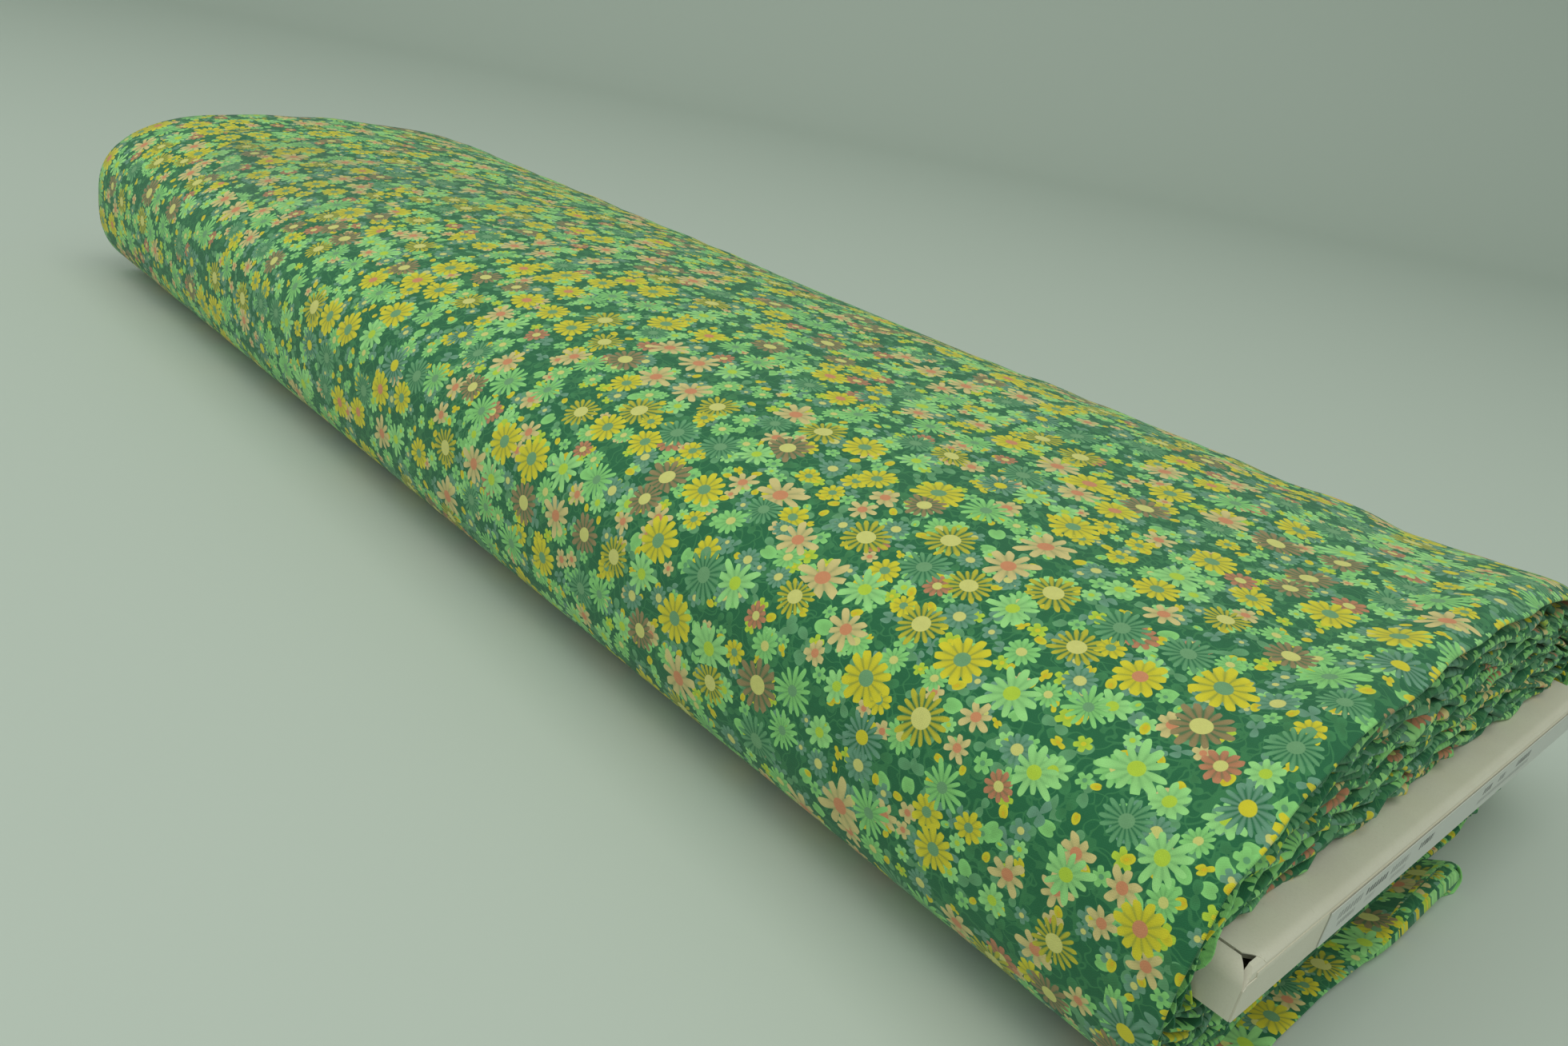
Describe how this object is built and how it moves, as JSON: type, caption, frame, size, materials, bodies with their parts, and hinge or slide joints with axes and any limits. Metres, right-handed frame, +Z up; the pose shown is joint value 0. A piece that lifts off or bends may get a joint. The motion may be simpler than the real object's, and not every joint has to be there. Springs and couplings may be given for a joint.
{
  "type": "fabric bolt",
  "caption": "Fabric bolt lying flat: printed cotton folded double and wound on a folded corrugated board with tuck-in end flaps.",
  "frame": {"origin": "centre of the bounding box's foot, on the surface that the bolt lies on", "axes": "+X along the bolt towards its labelled end, +Y across the bolt, +Z up"},
  "size_m": [0.5846, 0.216, 0.0775],
  "materials": {
    "printed_cotton": "small all-over floral print in mint, yellow and peach on a dark green ground",
    "bolt_board": "cream clay-coated corrugated board",
    "board_lining": "uncoated kraft corrugated board",
    "label_paper": "smooth white self-adhesive paper"
  },
  "bodies": {
    "cloth_roll": {"wraps_over_board": "printed_cotton", "wraps_under_board": "printed_cotton", "wraps_round_left_edge": "printed_cotton", "wraps_round_right_edge": "printed_cotton", "outer_turn": "printed_cotton", "loose_tail": "printed_cotton"},
    "bolt_board": {"board_top_panel": "bolt_board", "board_bottom_panel": "bolt_board", "board_left_spine": "bolt_board", "board_right_spine": "bolt_board", "board_stiffener": "board_lining", "near_left_dust_flap": "board_lining", "near_right_dust_flap": "board_lining", "far_left_dust_flap": "board_lining", "far_right_dust_flap": "board_lining"},
    "near_flap": {"near_end_flap": "bolt_board", "end_label": "label_paper"},
    "near_tab": {"near_tuck_tab": "bolt_board"},
    "far_flap": {"far_end_flap": "bolt_board"},
    "far_tab": {"far_tuck_tab": "bolt_board"}
  },
  "joints": [
    {"name": "board_slide", "type": "slide", "parent": "cloth_roll", "child": "bolt_board", "axis": [1, 0, 0], "range_m": [0, 0.57]},
    {"name": "near_flap_crease", "type": "hinge", "parent": "bolt_board", "child": "near_flap", "pos_m": [0.29175, 0, 0.04], "axis": [0, -1, 0], "range_deg": [0, 65]},
    {"name": "near_tab_score", "type": "hinge", "parent": "near_flap", "child": "near_tab", "pos_m": [0.29015, 0, 0.0323], "axis": [0, -1, 0], "range_deg": [-60, 0]},
    {"name": "far_flap_crease", "type": "hinge", "parent": "bolt_board", "child": "far_flap", "pos_m": [-0.29225, 0, 0.04], "axis": [0, 1, 0], "range_deg": [0, 65]},
    {"name": "far_tab_score", "type": "hinge", "parent": "far_flap", "child": "far_tab", "pos_m": [-0.29065, 0, 0.0323], "axis": [0, 1, 0], "range_deg": [-60, 0]}
  ],
  "couplings": [
    {"joint": "near_tab_score", "follows": "near_flap_crease", "ratio": -0.9},
    {"joint": "far_tab_score", "follows": "far_flap_crease", "ratio": -0.9}
  ]
}
